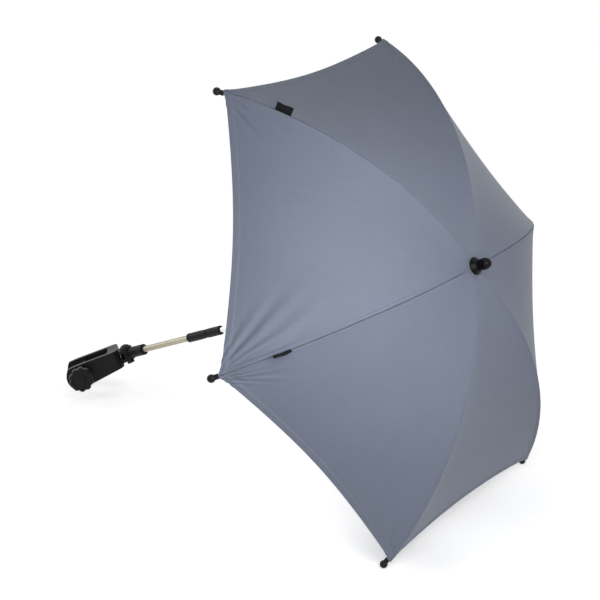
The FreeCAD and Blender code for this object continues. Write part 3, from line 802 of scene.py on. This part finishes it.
# Stage: a pale floor that keeps a shadow, soft light and the photograph's view
FLOOR_HALF = 14.0
FLOOR_HEIGHT = -0.0004
WORLD_HORIZON = 0.22
WORLD_ZENITH = 0.17
FLOOR_GLOW = 0.85
# The floor's glow is lower where lamps light it and where the object's shadow should show, and higher
# where the floor should stay white: place, spread in metres, and share added to the glow
FLOOR_LIGHTS = [
    ((0.52, -0.35, 0.0), 0.5, -0.35),
    ((0.13, 0.13, 0.0), 1.1, -0.045),
    ((-0.45, -0.2, 0.0), 0.6, -0.11),
    ((-0.3, -0.06, 0.0), 0.1, -0.08),
    ((0.207, -0.199, 0.0), 0.352, 0.6),
    ((0.318, -0.129, 0.0), 0.08, -0.45),
    ((0.279, 0.037, 0.0), 0.156, -0.45),
]
# Soft boxes about a place in the canopy: degrees up and round, metres away, metres across, watts
LAMP_STATION = 0.1
LAMPS = [
    ("Front", 25, 300, 0.55, 0.4, 1.38),
    ("Right", 30, 330, 0.45, 0.4, 0.66),
    ("Low", 5, 330, 0.8, 0.4, 0.25),
    ("Behind", 8, 90, 1.2, 0.4, 0.4),
    ("Far", 10, 30, 1.0, 0.4, 0.3),
    ("Inside", 12, 200, 1.3, 0.5, 2.0),
    ("Overhead", 72, 185, 1.5, 0.4, 1.6),
    ("Glint", 42, 318, 0.9, 0.03, 0.05),
]


def make_floor():
    mesh = bpy.data.meshes.new("floor")
    signs = ((-1, -1), (1, -1), (1, 1), (-1, 1))
    corners = [(x * FLOOR_HALF, y * FLOOR_HALF, FLOOR_HEIGHT) for x, y in signs]
    mesh.from_pydata(corners, [], [(0, 1, 2, 3)])
    floor = bpy.data.objects.new("floor", mesh)
    bpy.context.scene.collection.objects.link(floor)
    paint = Paint("Floor", (0.93, 0.93, 0.93), 0.9)
    paint.set(paint.shader, **{"Specular IOR Level": 0.0, "Emission Color": (1, 1, 1, 1)})
    glow = FLOOR_GLOW
    for place, spread, share in FLOOR_LIGHTS:
        glow = paint.math("ADD", glow, paint.faded(place, spread, share))
    paint.link(paint.math("MULTIPLY", paint.seen(), glow), paint.shader.inputs["Emission Strength"])
    mesh.materials.append(paint.material)


def make_world():
    """White where it is seen, and a soft light that is a little brighter at the horizon."""
    world = bpy.data.worlds.new("Studio")
    bpy.context.scene.world = world
    world.use_nodes = True
    sky = Nodes(world.node_tree)
    background = sky.tree.nodes["Background"]
    height = sky.node("ShaderNodeSeparateXYZ")
    sky.link(sky.place("Generated"), height.inputs[0])
    level = sky.node("ShaderNodeMapRange")
    sky.set(level, **{"From Min": 0.0, "From Max": 1.0})
    sky.set(level, **{"To Min": WORLD_HORIZON, "To Max": WORLD_ZENITH})
    sky.link(height.outputs["Z"], level.inputs["Value"])
    sky.link(sky.math("MAXIMUM", sky.seen(), level.outputs["Result"]), background.inputs["Strength"])
    background.inputs["Color"].default_value = (1, 1, 1, 1)


def make_lamps():
    middle = SHAFT @ Vector((0, 0, LAMP_STATION))
    for name, height, turn, away, across, watts in LAMPS:
        flat = math.cos(math.radians(height))
        way = Vector((flat * math.cos(math.radians(turn)), flat * math.sin(math.radians(turn)),
                      math.sin(math.radians(height))))
        lamp = bpy.data.lights.new(name, "AREA")
        lamp.size = across
        lamp.energy = watts
        obj = bpy.data.objects.new(name, lamp)
        obj.location = middle + way * away
        obj.rotation_euler = way.to_track_quat("Z", "Y").to_euler()
        bpy.context.scene.collection.objects.link(obj)


bpy.context.scene.view_settings.view_transform = "Standard"
make_floor()
make_world()
make_lamps()

# The camera that was fitted to the photograph, in the shaft's frame
LENS = 103.06
SENSOR = 36.0
EYE = Vector((0.2522, 1.7348, 1.3257))
EYE_RIGHT = Vector((-0.33055, -0.58030, 0.74430))
EYE_DOWN = Vector((-0.93794, 0.28962, -0.19075))
EYE_FORWARD = Vector((-0.10487, -0.76116, -0.64002))
camera = bpy.data.objects.new("Camera", bpy.data.cameras.new("Camera"))
camera.data.lens = LENS
camera.data.sensor_width = SENSOR
camera.data.clip_end = 60
camera.matrix_world = SHAFT @ axes(EYE_RIGHT, -EYE_DOWN, -EYE_FORWARD, EYE)
bpy.context.scene.collection.objects.link(camera)
bpy.context.scene.camera = camera
